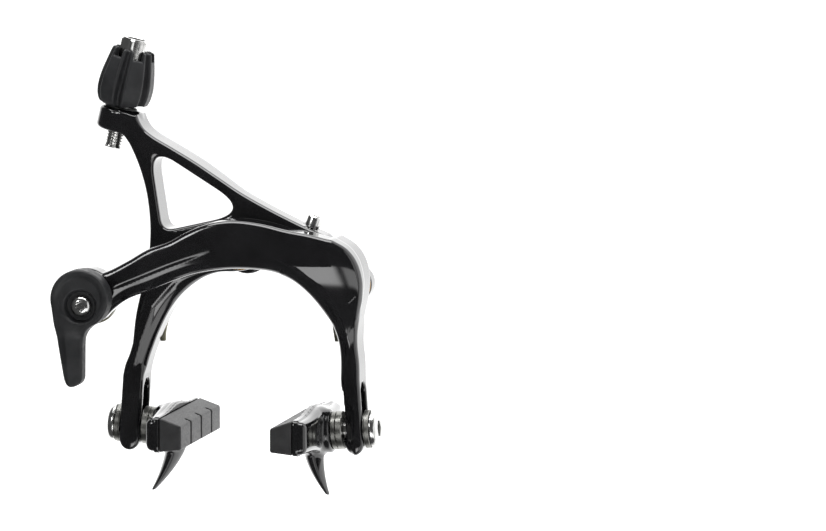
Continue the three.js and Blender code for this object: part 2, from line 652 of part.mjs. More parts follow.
makeBracket();
makeCentreBolt();
makeSidePivot();
makeReturnSpring();
makeRearArm();
makeCentringScrew();
makeAdjuster();
makeFrontArm();
makeQuickRelease();
for (const [side, name] of [[LEFT, 'left_pad'], [RIGHT, 'right_pad']]) {
  makePadHardware(side, name);
  makePad(side, name);
}

export default caliper;
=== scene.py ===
# The looks of the rim brake caliper: smooth forged arms, threads, rubber and finishes on the CAD frame.
# Shapes are worked out in millimetres in the part's own frame and written to Blender in metres.
import json
import math

import bpy
import numpy as np
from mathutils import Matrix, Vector


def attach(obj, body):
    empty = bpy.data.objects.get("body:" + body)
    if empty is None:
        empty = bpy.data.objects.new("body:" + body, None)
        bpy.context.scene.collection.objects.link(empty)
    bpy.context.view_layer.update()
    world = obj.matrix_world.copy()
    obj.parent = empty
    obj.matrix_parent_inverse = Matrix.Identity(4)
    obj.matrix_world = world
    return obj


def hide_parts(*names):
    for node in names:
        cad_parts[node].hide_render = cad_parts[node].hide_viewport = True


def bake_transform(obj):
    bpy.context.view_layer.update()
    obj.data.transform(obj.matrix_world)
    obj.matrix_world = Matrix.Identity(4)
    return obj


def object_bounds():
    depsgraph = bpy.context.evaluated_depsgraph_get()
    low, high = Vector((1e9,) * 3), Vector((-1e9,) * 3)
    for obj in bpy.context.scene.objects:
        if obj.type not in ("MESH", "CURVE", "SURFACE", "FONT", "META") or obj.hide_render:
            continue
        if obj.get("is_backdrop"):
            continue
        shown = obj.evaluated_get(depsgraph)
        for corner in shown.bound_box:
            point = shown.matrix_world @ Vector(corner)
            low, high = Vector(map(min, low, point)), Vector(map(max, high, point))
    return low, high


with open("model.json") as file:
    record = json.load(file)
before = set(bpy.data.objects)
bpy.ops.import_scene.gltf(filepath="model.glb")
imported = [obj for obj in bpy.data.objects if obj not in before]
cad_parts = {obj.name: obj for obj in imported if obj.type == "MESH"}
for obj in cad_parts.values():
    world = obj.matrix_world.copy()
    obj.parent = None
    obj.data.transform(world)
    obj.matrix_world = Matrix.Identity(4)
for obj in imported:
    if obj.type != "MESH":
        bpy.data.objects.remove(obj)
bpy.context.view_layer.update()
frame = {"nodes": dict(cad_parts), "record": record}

MM = 0.001

# ---------------------------------------------------------------- driving dimensions, as in the CAD

LEAN = math.radians(4)
PAD_Y = -11.0
REACH = 50.0
LEG_MIDDLE = 32.1
SEAT_IN, SEAT_OUT = 29.1, 35.1
SLOT_RADIUS, SLOT_TRAVEL = 3.3, 10.0
PAD_FACE, PAD_ROOT, PAD_BACK, PAD_BOSS = 12.7, 18.9, 23.6, 25.6
PAD_FRONT, PAD_REAR = -35.0, 13.0
TOE_CENTRE = 20.0
SIDE_PIVOT = (30.4, -9.3)
ADJUSTER = np.array([-38.1, -11.0, 28.5])
ADJUSTER_TILT = math.radians(13.1)
ADJUSTER_BOSS = 5.8, 5.0, 11.4
GRIP_BOTTOM, GRIP_TOP, GRIP_SLOT = 12.1, 28.6, 26.0
CENTRING = np.array([17.0, -12.5, -1.0])
CENTRING_TILT = math.radians(20)
QUICK_RELEASE = (-42.1, -12.4)
CABLE_BOLT = (-41.8, -14.4)


def leaning(tilt):
    """Unit vector that stands up and leans towards +X by tilt."""
    return np.array([math.sin(tilt), 0.0, math.cos(tilt)])


def seat_x(x, z):
    return x + (-REACH - z) * math.tan(LEAN)


# ---------------------------------------------------------------- fields: negative inside, in mm


def soft_or(a, b, k):
    h = np.clip(0.5 + 0.5 * (b - a) / k, 0, 1)
    return b + (a - b) * h - k * h * (1 - h)


def soft_and(a, b, k):
    return -soft_or(-a, -b, k)


def round_and(a, b, radius):
    """Where both hold, with the edge between them rounded."""
    u, v = np.maximum(a + radius, 0), np.maximum(b + radius, 0)
    return np.minimum(np.maximum(a + radius, b + radius), 0) + np.hypot(u, v) - radius


def round_cut(a, b, radius):
    return round_and(a, -b, radius)


def smooth_step(t):
    t = np.clip(t, 0, 1)
    return t * t * (3 - 2 * t)


def slab(value, low, high):
    return np.maximum(low - value, value - high)


def block(p, low, high):
    centre, half = (np.add(low, high)) / 2, (np.subtract(high, low)) / 2
    q = np.abs(p - centre) - half
    return np.linalg.norm(np.maximum(q, 0), axis=1) + np.minimum(q.max(1), 0)


def along(p, origin, axis):
    """Distance along an axis from its origin, and distance from it."""
    d = p - origin
    s = d @ axis
    return s, np.linalg.norm(d - s[:, None] * axis, axis=1)


def barrel(p, origin, axis, radius, low, high, edge):
    s, r = along(p, origin, axis)
    return round_and(r - radius, slab(s, low, high), edge)


Y_AXIS = np.array([0.0, 1.0, 0.0])


def bore_y(p, centre, radius, low, high):
    return barrel(p, np.array([centre[0], 0, centre[1]]), Y_AXIS, radius, low, high, 0.01)


# ---------------------------------------------------------------- outlines in the XZ plane


class Line:
    """A closed line built of splines, straights and arcs, kept as close-set points."""

    def __init__(self, x, z):
        self.points = [np.array([x, z], float)]

    def to(self, x, z):
        start, end = self.points[-1], np.array([x, z], float)
        count = max(2, int(np.linalg.norm(end - start) / 0.5))
        self.points += [start + (end - start) * i / count for i in range(1, count + 1)]
        return self

    def spline(self, *through):
        knots = [self.points[-1]] + [np.array(p, float) for p in through]
        knots = [knots[0], *knots, knots[-1]]
        for a, b, c, d in zip(knots, knots[1:], knots[2:], knots[3:]):
            count = max(4, int(np.linalg.norm(c - b) / 0.4))
            for i in range(1, count + 1):
                t = i / count
                bend = (2 * a - 5 * b + 4 * c - d) * t * t + (3 * b - a - 3 * c + d) * t**3
                self.points.append(b + ((c - a) * t + bend) / 2)
        return self

    def curve(self, first, second, end):
        start, first, second, end = self.points[-1], *(np.array(p, float) for p in (first, second, end))
        for i in range(1, 25):
            t = i / 24
            s = 1 - t
            self.points.append(s**3 * start + 3 * s * s * t * first + 3 * s * t * t * second + t**3 * end)
        return self

    def arc(self, x, z, radius, start, end):
        count = max(6, int(abs(end - start) / 4))
        for i in range(count + 1):
            angle = math.radians(start + (end - start) * i / count)
            self.points.append(np.array([x + radius * math.cos(angle), z + radius * math.sin(angle)]))
        return self


class Outline:
    """Signed distance to a closed line, worked out once on a grid and read between its points."""

    STEP = 0.35

    def __init__(self, line):
        start = np.array(line.points)
        start = start[np.linalg.norm(start - np.roll(start, 1, 0), axis=1) > 1e-6]
        end = np.roll(start, -1, 0)
        self.low = start.min(0) - 4
        counts = np.ceil((start.max(0) + 4 - self.low) / self.STEP).astype(int) + 1
        z = self.low[1] + self.STEP * np.arange(counts[1])
        run = end - start
        across = self.low[0] + self.STEP * np.arange(counts[0])
        self.grid = np.array([self.column(x, z, start, end, run) for x in across])

    @staticmethod
    def column(x, z, start, end, run):
        away = np.stack([np.full_like(z, x), z], 1)[:, None] - start
        t = np.clip((away * run).sum(2) / (run * run).sum(1), 0, 1)
        distance = np.sqrt(((away - t[..., None] * run) ** 2).sum(2).min(1))
        spans = (start[:, 0] > x) != (end[:, 0] > x)
        height = start[spans, 1] + (x - start[spans, 0]) / run[spans, 0] * run[spans, 1]
        inside = (height[None] > z[:, None]).sum(1) % 2 == 1
        return np.where(inside, -distance, distance)

    def __call__(self, x, z):
        u = np.clip((x - self.low[0]) / self.STEP, 0, self.grid.shape[0] - 1.001)
        v = np.clip((z - self.low[1]) / self.STEP, 0, self.grid.shape[1] - 1.001)
        i, j = u.astype(int), v.astype(int)
        u, v = u - i, v - j
        low = self.grid[i, j] * (1 - u) + self.grid[i + 1, j] * u
        high = self.grid[i, j + 1] * (1 - u) + self.grid[i + 1, j + 1] * u
        return low * (1 - v) + high * v


def rear_arm_outline():
    line = Line(-34.8, 34.4)
    line.spline((-33.2, 31.9), (-31.3, 28.8), (-28.7, 22.5), (-26.8, 15), (-26, 6),
                (-26.7, -3), (-28.8, -11.9), (-30.3, -18.7), (-31.2, -26.4))
    line.spline((-32.1, -29.4), (-33.4, -32.6), (-seat_x(SEAT_OUT, -35.5), -35.5))
    line.to(-seat_x(SEAT_OUT, -52.5), -52.5)
    line.curve((-35.7, -58.2), (-29.6, -58.2), (-seat_x(SEAT_IN, -53.5), -53.5))
    line.to(-seat_x(SEAT_IN, -35.5), -35.5)
    line.spline((-27.3, -32.3), (-26.1, -28.6), (-23.9, -23), (-20.6, -16.6), (-16.5, -11.6), (-11, -7.6),
                (-6, -5.8), (-1, -5.5), (3.6, -4.4), (9, -1.4), (16, 0.2), (22, 0.9))
    line.spline((24.9, 1.6), (25.9, 3.3), (24.5, 5.1))
    line.spline((17.4, 8.1), (9, 12.1), (0.7, 16.5), (-6.2, 20.9), (-12.9, 25.2), (-19.8, 29.2),
                (-24.8, 32), (-27.6, 34.2), (-29, 36.4), (-29.6, 38.1))
    return Outline(line.to(-34.8, 39.3))


def rounded_triangle(corners):
    """A triangle with rounded corners, from (x, z, cut) at each corner."""
    line = None
    for i, (x, z, radius) in enumerate(corners):
        here = np.array([x, z], float)
        back = np.array(corners[i - 1][:2]) - here
        on = np.array(corners[(i + 1) % len(corners)][:2]) - here
        back, on = back / np.linalg.norm(back), on / np.linalg.norm(on)
        reach = radius / math.tan(math.acos(float(back @ on)) / 2)
        enter, leave = here + back * reach, here + on * reach
        line = line.to(*enter) if line else Line(*enter)
        line.curve((enter + 2 * here) / 3, (leave + 2 * here) / 3, leave)
    return Outline(line)


def front_arm_outline():
    line = Line(-42 + 8 * math.cos(math.radians(55)), -12.3 + 8 * math.sin(math.radians(55)))
    line.spline((-34.4, -4.5), (-29.6, -1.9), (-24.3, 1.2), (-18.5, 3.4), (-13.4, 6.1), (-8.9, 8.1),
                (-4, 9.4), (1.5, 9.8), (8.4, 9), (15.4, 7.4), (22, 6.2), (28.1, 4.6))
    line.spline((32, 2.2), (34.7, -1.6), (35.9, -6.6), (35.6, -11.6), (34.5, -17), (33.6, -22),
                (33.5, -26), (34, -31), (seat_x(SEAT_OUT, -35.5), -35.5))
    line.to(seat_x(SEAT_OUT, -52.5), -52.5)
    line.curve((35.7, -58.2), (29.6, -58.2), (seat_x(SEAT_IN, -53.5), -53.5))
    line.to(seat_x(SEAT_IN, -35.5), -35.5)
    foot = (-42 + 8 * math.cos(math.radians(-53)), -12.3 + 8 * math.sin(math.radians(-53)))
    line.spline((28.2, -30), (27.8, -25), (26.6, -20.5), (24.4, -16), (21.3, -11.4), (17.5, -7.6),
                (13.1, -5.2), (7.8, -4.1), (-1.2, -4), (-10.2, -5.3), (-16.6, -7.4), (-23.8, -10.4),
                (-30.2, -12.9), (-34.4, -15.8), foot)
    return Outline(line.arc(-42, -12.3, 8, -53, -305))


def lever_outline():
    x, z = QUICK_RELEASE
    line = Line(x + 8.3 * math.cos(math.radians(-62)), z + 8.3 * math.sin(math.radians(-62)))
    line.arc(x, z, 8.3, -62, 193).spline((-48.6, -25), (-46.9, -34.2))
    line.curve((-46.5, -36.3), (-45.7, -37.3), (-44.2, -37.2))
    line.curve((-42.5, -36.9), (-41.6, -35.8), (-41.6, -34))
    return Outline(line.to(-41.5, -25.5).spline((-41.3, -23.4), (-40.3, -21.4), (-38.6, -19.9)))


# ---------------------------------------------------------------- skins


def gradient(field, p, step=0.2):
    slope = np.empty_like(p)
    for i in range(3):
        shift = np.zeros(3)
        shift[i] = step
        slope[:, i] = (field(p + shift) - field(p - shift)) / (2 * step)
    return slope


def onto_surface(field, p, rounds):
    for _ in range(rounds):
        slope = gradient(field, p, 0.05)
        steep = np.maximum((slope * slope).sum(1), 0.04)
        p = p - np.clip(field(p) / steep, -0.6, 0.6)[:, None] * slope
    return p


def quads_of(inside, number):
    """One face round every grid edge that the surface crosses, wound to face outwards."""
    faces = []
    for axis in range(3):
        u, v = (axis + 1) % 3, (axis + 2) % 3
        here = np.moveaxis(inside, (axis, u, v), (0, 1, 2))
        cell = np.moveaxis(number, (axis, u, v), (0, 1, 2))
        out = (here[:-1] & ~here[1:])[:, 1:-1, 1:-1]
        into = (~here[:-1] & here[1:])[:, 1:-1, 1:-1]
        for crossing, turned in ((out, False), (into, True)):
            i, j, k = np.nonzero(crossing)
            ring = [cell[i, j, k], cell[i, j + 1, k], cell[i, j + 1, k + 1], cell[i, j, k + 1]]
            faces.append(np.stack(ring[::-1] if turned else ring, 1))
    return np.concatenate(faces)


def skin(name, field, low, high, step):
    """The closed surface of a field as a smooth mesh of near-square faces."""
    counts = [int(math.ceil((b - a) / step)) + 1 for a, b in zip(low, high)]
    axes = [low[i] + step * np.arange(counts[i]) for i in range(3)]
    inside = np.stack([field(np.stack(np.meshgrid([x], axes[1], axes[2], indexing="ij"), -1).reshape(-1, 3))
                       .reshape(counts[1:]) < 0 for x in axes[0]])
    corners = [inside[i:counts[0] - 1 + i, j:counts[1] - 1 + j, k:counts[2] - 1 + k].astype(np.int8)
               for i in (0, 1) for j in (0, 1) for k in (0, 1)]
    mixed = (sum(corners) > 0) & (sum(corners) < 8)
    number = np.full(mixed.shape, -1)
    number[mixed] = np.arange(mixed.sum())
    faces = quads_of(inside, number)
    p = np.array(low) + step * (np.argwhere(mixed) + 0.5)
    p = onto_surface(field, p, 3)
    for _ in range(2):
        p = onto_surface(field, relaxed(p, faces), 2)
    return smooth_mesh(name, p, faces, gradient(field, p))


def relaxed(p, faces):
    """Every point moved most of the way to the middle of its neighbours."""
    total, count = np.zeros_like(p), np.zeros(len(p))
    for i in range(4):
        for j in ((i + 1) % 4, (i + 3) % 4):
            np.add.at(total, faces[:, i], p[faces[:, j]])
            np.add.at(count, faces[:, i], 1)
    return p * 0.4 + 0.6 * total / count[:, None]


def smooth_mesh(name, p, faces, normals=None, sharp=None):
    mesh = bpy.data.meshes.new(name)
    mesh.from_pydata((np.asarray(p) * MM).tolist(), [], [list(f) for f in faces])
    mesh.shade_smooth()
    if sharp is not None:
        mesh.set_sharp_from_angle(angle=math.radians(sharp))
    if normals is not None:
        lengths = np.maximum(np.linalg.norm(normals, axis=1), 1e-9)
        mesh.normals_split_custom_set_from_vertices((normals / lengths[:, None]).tolist())
    piece = bpy.data.objects.new(name, mesh)
    bpy.context.scene.collection.objects.link(piece)
    return piece


# ---------------------------------------------------------------- forged arms

REAR_OUTLINE = rear_arm_outline()
WINDOW = rounded_triangle([(-26.1, 29.6, 4.2), (-22.4, 5.5, 3.2), (3.1, 11.4, 4.8)])
FRONT_OUTLINE = front_arm_outline()
LEVER_OUTLINE = lever_outline()


def pad_slot(p, side):
    """The open slot through a leg, which the pad bolt is clamped in."""
    x = p[:, 0] * side - LEG_MIDDLE
    height = -x * math.sin(LEAN) + (p[:, 2] + REACH) * math.cos(LEAN)
    above = height - np.clip(height, 0, SLOT_TRAVEL)
    return np.hypot(p[:, 1] - PAD_Y, above) - SLOT_RADIUS


def leg_slot_cut(body, p, side):
    near = np.maximum(pad_slot(p, side), 24 - p[:, 0] * side)
    return round_cut(body, near, 0.5)


def rear_arm(p):
    x, y, z = p.T
    flat = soft_and(REAR_OUTLINE(x, z), -WINDOW(x, z), 0.2)
    inner_side = smooth_step((x - np.interp(z, [-36, -26, -16, -8], [-31.5, -28.3, -25, -18]) + 0.8) / 1.6)
    chamfer = inner_side * smooth_step((z + 37) / 5) * smooth_step((-5 - z) / 6)
    crown = 0.55 * np.exp(np.minimum(flat, 0) / 1.1) + chamfer * 1.9 * np.exp(np.minimum(flat, 0) / 2.2)
    back = -5.3 - 3.1 * smooth_step((x + 12) / 14) - crown * 0.4
    body = round_and(flat, slab(y, -17 + crown, back), 0.8)
    boss = barrel(p, ADJUSTER, leaning(ADJUSTER_TILT), *ADJUSTER_BOSS, 1.2)
    body = soft_or(body, boss, 1.6)
    body = round_cut(body, np.maximum(np.hypot(x, z) - 9.6, -8.4 - y), 0.4)
    body = round_cut(body, bore_y(p, (0, 0), 4.1, -30, 0), 0.3)
    body = round_cut(body, barrel(p, ADJUSTER, leaning(ADJUSTER_TILT), 2.7, -2, 20, 0.01), 0.3)
    body = round_cut(body, barrel(p, CENTRING, leaning(CENTRING_TILT), 1.6, -3, 14, 0.01), 0.2)
    body = round_cut(body, barrel(p, CENTRING, leaning(CENTRING_TILT), 2.6, 8.6, 16, 0.01), 0.3)
    return leg_slot_cut(body, p, -1)


def front_arm_face(x, z):
    """Y of the front face: level along the arch, and falling back down the leg and round the shoulder."""
    leg = -16.5 - 10.8 * smooth_step((z + 34.5) / 34)
    across = smooth_step((x - 6) / 10)
    shoulder = 0.0075 * np.maximum(x - 12, 0) ** 2 * smooth_step((z + 34) / 16)
    return -27.3 * (1 - across) + leg * across + shoulder


def front_arm(p):
    x, y, z = p.T
    flat = FRONT_OUTLINE(x, z)
    rim = np.minimum(flat, 0)
    lower = smooth_step((z_of_ridge(x, z) + 1) / 2)
    crown = 0.7 * np.exp(rim / 1.3) + lower * 2.2 * np.exp(rim / 2.6)
    face = front_arm_face(x, z) + crown
    fall = 1 / np.sqrt(1 + gradient_of_face(x, z) ** 2)
    front = (face - y) * fall
    arch_back = -17.4 - 2.1 * smooth_step((-28 - x) / 3)
    arch = round_and(flat, np.maximum(front, y - arch_back), 0.9)
    deep_back = -8.4 + 3 * smooth_step((-17.5 - z) / 4)
    beside = np.maximum(13.6 - x, np.minimum(27.4 - x, z + 1.6))
    deep = round_and(np.maximum(flat, beside), np.maximum(front, y - deep_back), 0.9)
    body = soft_or(arch, deep, 0.5)
    body = round_cut(body, block(p, (-6.3, -20.7, -12), (5.6, -15, 5.4)), 0.5)
    body = round_cut(body, bore_y(p, SIDE_PIVOT, 3.65, -20.9, 0), 0.3)
    body = round_cut(body, bore_y(p, QUICK_RELEASE, 5.1, -40, 0), 0.3)
    return leg_slot_cut(body, p, 1)


def z_of_ridge(x, z):
    """Above 0 on the lower and inner side of the arch and the leg, where the long bevel runs."""
    arch = np.interp(x, [-50, -36, -30, -18, -6, 6, 18], [-13, -10.5, -8, -3, 1.5, 2.4, -3]) - z
    leg = np.interp(z, [-57, -36, -26, -18, -10, -3, 2.4], [32.2, 31.8, 30.6, 29.4, 26.5, 18, 6]) - x
    turn = smooth_step((x - 6) / 12)
    return arch * (1 - turn) + leg * turn


def gradient_of_face(x, z):
    return (front_arm_face(x, z + 0.1) - front_arm_face(x, z - 0.1)) / 0.2


# ---------------------------------------------------------------- finishes


class Finish:
    """A Principled material whose detail comes from noise in the part's own frame."""

    def __init__(self, name, metallic=0.0, **constants):
        self.material = bpy.data.materials.new(name)
        self.material.use_nodes = True
        self.nodes, self.links = self.material.node_tree.nodes, self.material.node_tree.links
        self.shader = self.nodes["Principled BSDF"]
        self.place = self.nodes.new("ShaderNodeTexCoord").outputs["Object"]
        self.shader.inputs["Metallic"].default_value = metallic
        for socket, value in constants.items():
            self.shader.inputs[socket.replace("_", " ")].default_value = value

    def stretched(self, scale):
        mapping = self.nodes.new("ShaderNodeMapping")
        mapping.inputs["Scale"].default_value = scale
        self.links.new(self.place, mapping.inputs["Vector"])
        return mapping.outputs["Vector"]

    def noise(self, size_mm, detail=3, stretch=(1, 1, 1)):
        texture = self.nodes.new("ShaderNodeTexNoise")
        texture.inputs["Scale"].default_value = 1000 / size_mm
        texture.inputs["Detail"].default_value = detail
        self.links.new(self.stretched(stretch), texture.inputs["Vector"])
        return texture.outputs["Fac"]

    def cells(self, size_mm):
        texture = self.nodes.new("ShaderNodeTexVoronoi")
        texture.inputs["Scale"].default_value = 1000 / size_mm
        self.links.new(self.place, texture.inputs["Vector"])
        return texture.outputs["Distance"]

    def spread(self, value, low, high, start=0.35, end=0.65):
        remap = self.nodes.new("ShaderNodeMapRange")
        for socket, number in (("From Min", start), ("From Max", end), ("To Min", low), ("To Max", high)):
            remap.inputs[socket].default_value = number
        self.links.new(value, remap.inputs["Value"])
        return remap.outputs["Result"]

    def colour(self, value, dark, light):
        mix = self.nodes.new("ShaderNodeMix")
        mix.data_type = "RGBA"
        mix.inputs[6].default_value = (*dark, 1)
        mix.inputs[7].default_value = (*light, 1)
        self.links.new(value, mix.inputs["Factor"])
        self.links.new(mix.outputs[2], self.shader.inputs["Base Color"])
        return self

    def roughness(self, value, low, high):
        self.links.new(self.spread(value, low, high), self.shader.inputs["Roughness"])
        return self

    def bump(self, *layers):
        """Layers of (height, strength, depth in mm), each over the one before."""
        normal = None
        for height, strength, depth in layers:
            node = self.nodes.new("ShaderNodeBump")
            node.inputs["Strength"].default_value = strength
            node.inputs["Distance"].default_value = depth * MM
            self.links.new(height, node.inputs["Height"])
            if normal:
                self.links.new(normal, node.inputs["Normal"])
            normal = node.outputs["Normal"]
        self.links.new(normal, self.shader.inputs["Normal"])
        return self


def gloss_paint(name):
    """Black powder coat under clear lacquer: deep, with a faint orange peel and hairline haze."""
    finish = Finish(name, 0.0, Coat_Weight=0.5, Coat_Roughness=0.03, Specular_IOR_Level=0.5)
    peel, haze = finish.noise(1.6, 2), finish.noise(9, 4)
    finish.colour(finish.spread(haze, 0, 1), (0.0035, 0.0035, 0.004), (0.0065, 0.0065, 0.0072))
    finish.roughness(haze, 0.07, 0.13)
    return finish.bump((peel, 0.02, 0.05)).material


def satin_plastic(name):
    """Moulded nylon: a fine spark-eroded grain over slight sink marks."""
    finish = Finish(name, 0.0, Specular_IOR_Level=0.35)
    grain, sink = finish.cells(0.16), finish.noise(5, 3)
    finish.colour(finish.spread(sink, 0, 1), (0.009, 0.0095, 0.0105), (0.016, 0.0165, 0.018))
    finish.roughness(finish.noise(1.2, 4), 0.42, 0.56)
    return finish.bump((sink, 0.08, 0.2), (grain, 0.22, 0.03)).material


def turned_metal(name, dark, light, rough, grain=0.16, stretch=(1, 12, 1), streak=0.25):
    """Machined metal: streaks left by the tool, blotched a little by handling."""
    finish = Finish(name, 1.0)
    lines, blotch = finish.noise(streak, 3, stretch), finish.noise(3.5, 4)
    finish.colour(finish.spread(blotch, 0, 1), dark, light)
    finish.roughness(finish.noise(0.9, 3), *rough)
    return finish.bump((lines, grain, 0.02), (blotch, 0.03, 0.08)).material


def sintered_bronze(name):
    finish = Finish(name, 1.0)
    pores, blotch = finish.cells(0.22), finish.noise(2, 3)
    finish.colour(finish.spread(blotch, 0, 1), (0.26, 0.15, 0.06), (0.5, 0.33, 0.15))
    finish.roughness(blotch, 0.34, 0.5)
    return finish.bump((pores, 0.35, 0.04)).material


def black_oxide(name):
    finish = Finish(name, 0.85)
    blotch = finish.noise(2.2, 4)
    finish.colour(finish.spread(blotch, 0, 1), (0.018, 0.018, 0.02), (0.035, 0.034, 0.034))
    finish.roughness(finish.noise(0.8, 4), 0.32, 0.48)
    return finish.bump((finish.noise(0.2, 2), 0.12, 0.02)).material


def moulded_rubber(name, dark, light):
    """Brake compound: matt, mottled by filler, with the skin of the mould."""
    finish = Finish(name, 0.0, Specular_IOR_Level=0.5)
    filler, skin_grain = finish.noise(0.5, 6), finish.cells(0.12)
    finish.colour(finish.spread(finish.noise(3, 5), 0, 1), dark, light)
    finish.roughness(filler, 0.4, 0.55)
    return finish.bump((filler, 0.18, 0.06), (skin_grain, 0.2, 0.03)).material


FINISHES = {
    "gloss_black_paint": gloss_paint("gloss_black_paint"),
    "satin_black_plastic": satin_plastic("satin_black_plastic"),
    "black_oxide_steel": black_oxide("black_oxide_steel"),
    "bright_steel": turned_metal("bright_steel", (0.55, 0.55, 0.54), (0.72, 0.72, 0.71), (0.14, 0.26)),
    "pad_washer_steel": turned_metal("pad_washer_steel", (0.24, 0.24, 0.225), (0.36, 0.36, 0.34),
                                     (0.3, 0.42)),
    "spring_steel": turned_metal("spring_steel", (0.13, 0.125, 0.09), (0.22, 0.21, 0.16), (0.3, 0.42)),
    "bearing_bronze": sintered_bronze("bearing_bronze"),
    "pad_rubber": moulded_rubber("pad_rubber", (0.012, 0.012, 0.013), (0.02, 0.02, 0.021)),
    "seal_rubber": moulded_rubber("seal_rubber", (0.008, 0.008, 0.008), (0.014, 0.014, 0.014)),
}
BODY_OF = {node: body for body, nodes in frame["record"]["behaviour"]["bodies"].items() for node in nodes}
SLOT_OF = {part["node"]: part["material_slot"] for part in frame["record"]["subparts"]}


def stands_for(piece, node):
    """The piece shows in place of a CAD node, on its body and in its finish."""
    piece.data.materials.append(FINISHES[SLOT_OF[node]])
    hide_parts(node)
    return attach(piece, BODY_OF[node])


for node, thing in frame["nodes"].items():
    thing.data.materials.clear()
    thing.data.materials.append(FINISHES[SLOT_OF[node]])

stands_for(skin("rear_arm_forging", rear_arm, (-47, -19, -60), (28, -3, 45), 0.5), "rear_arm")
stands_for(skin("front_arm_forging", front_arm, (-52, -29, -60), (38, -3, 12), 0.5), "front_arm")


# ---------------------------------------------------------------- turned pieces


def reach_at(radius, sides, angle):
    """Radius at an angle of a regular polygon, given its corner radius."""
    if not sides:
        return radius + 0 * angle
    part = 2 * math.pi / sides
    return radius * math.cos(part / 2) / np.cos(np.mod(angle, part) - part / 2)


def spun(name, profile, origin, axis, around=96, sharp=32):
    """A turned solid from (radius, height[, sides]) steps. One that ends where it starts is a ring;
    any other is closed by a cap at each end."""
    axis = np.array(axis, float)
    side = np.array([0.0, 0.0, 1.0]) if abs(axis[1]) > 0.9 else Y_AXIS
    third = np.cross(axis, side)
    angle = 2 * math.pi * np.arange(around) / around
    spokes = np.cos(angle)[:, None] * side + np.sin(angle)[:, None] * third
    is_ring = len(profile[0]) == 2 and tuple(profile[0]) == tuple(profile[-1])
    steps = profile[:-1] if is_ring else profile
    rings = [np.array(origin) + step[1] * axis
             + reach_at(step[0], step[2] if len(step) > 2 else 0, angle)[:, None] * spokes for step in steps]
    points = np.concatenate(rings)
    faces = []
    pairs = [(i, (i + 1) % len(rings)) for i in range(len(rings) if is_ring else len(rings) - 1)]
    for low, high in pairs:
        for j in range(around):
            k = (j + 1) % around
            faces.append((low * around + j, low * around + k, high * around + k, high * around + j))
    if not is_ring:
        points = np.concatenate([points, [np.array(origin) + steps[0][1] * axis],
                                 [np.array(origin) + steps[-1][1] * axis]])
        start, end = len(points) - 2, len(points) - 1
        last = (len(rings) - 1) * around
        for j in range(around):
            k = (j + 1) % around
            faces += [(start, k, j), (end, last + j, last + k)]
    if enclosed(points, faces) < 0:
        faces = [face[::-1] for face in faces]
    return smooth_mesh(name, points, faces, sharp=sharp)


def enclosed(points, faces):
    """Six times the volume inside the faces: negative where they face inwards."""
    total = 0.0
    for face in faces:
        for b, c in zip(face[1:], face[2:]):
            total += np.dot(points[face[0]], np.cross(points[b], points[c]))
    return total


def softened(profile, radius, steps=3):
    """The profile with its round corners eased; hexagonal steps and shared ends are left."""
    eased = [profile[0]]
    for before, here, after in zip(profile, profile[1:], profile[2:]):
        if len(here) > 2:
            eased.append(here)
            continue
        spot = np.array(here[:2])
        back, on = np.array(before[:2]) - spot, np.array(after[:2]) - spot
        lengths = np.linalg.norm(back), np.linalg.norm(on)
        cut = min(radius, 0.4 * min(lengths))
        start, end = spot + back / max(lengths[0], 1e-9) * cut, spot + on / max(lengths[1], 1e-9) * cut
        for i in range(steps + 1):
            t = i / steps
            eased.append(tuple((1 - t) ** 2 * start + 2 * t * (1 - t) * spot + t * t * end))
    return eased + [profile[-1]]


def washer(node, centre, bore, rim, low, high):
    middle = (bore, (low + high) / 2)
    profile = [middle, (bore, low), (rim, low), (rim, high), (bore, high), middle]
    origin = (centre[0], 0, centre[1])
    return stands_for(spun(node + "_piece", softened(profile, 0.15), origin, Y_AXIS), node)


def threaded(radius, low, high, pitch, around=96, depth=0.55):
    """Steps of a screw thread, cut depth * pitch deep and running out at both ends."""
    angle = 2 * math.pi * np.arange(around) / around
    count = int((high - low) / pitch * 9)
    steps = []
    for i in range(count + 1):
        height = low + (high - low) * i / count
        phase = np.mod(height / pitch - angle / (2 * math.pi), 1)
        fade = min(1.0, (height - low) / pitch, (high - height) / pitch)
        groove = np.clip(1.25 - 2.5 * np.abs(phase - 0.5), 0, 1)
        steps.append((radius - depth * pitch * fade * groove, height))
    return steps


def hex_nut(node, centre, bore, corner, low, high):
    land, chamfer = corner * 0.88, 0.35
    middle = (bore, (low + high) / 2)
    profile = [middle, (bore, low), (land, low), (corner, low + chamfer, 6), (corner, high - chamfer, 6),
               (land, high), (bore, high), middle]
    return stands_for(spun(node + "_piece", profile, (centre[0], 0, centre[1]), Y_AXIS, 96, 20), node)


def centre_bolt():
    front_end = [(2.45, -20.2), (3, -19.65), (3, 1.2)]
    steps = front_end + threaded(3, 1.6, 19.2, 1.0, 72) + [(2.2, 20)]
    stands_for(spun("mounting_stud", steps, (0, 0, 0), Y_AXIS, 72, 50), "mounting_bolt")
    hex_nut("centre_pivot_nut", (0, 0), 3.15, 4.62, -20.1, -17.65)
    washer("centre_pivot_front_washer", (0, 0), 3.15, 5, -17.5, -17.1)
    washer("centre_pivot_rear_washer", (0, 0), 3.15, 5.3, -8.3, -7.8)
    washer("rear_arm_bush", (0, 0), 3.15, 3.95, -16.9, -8.5)


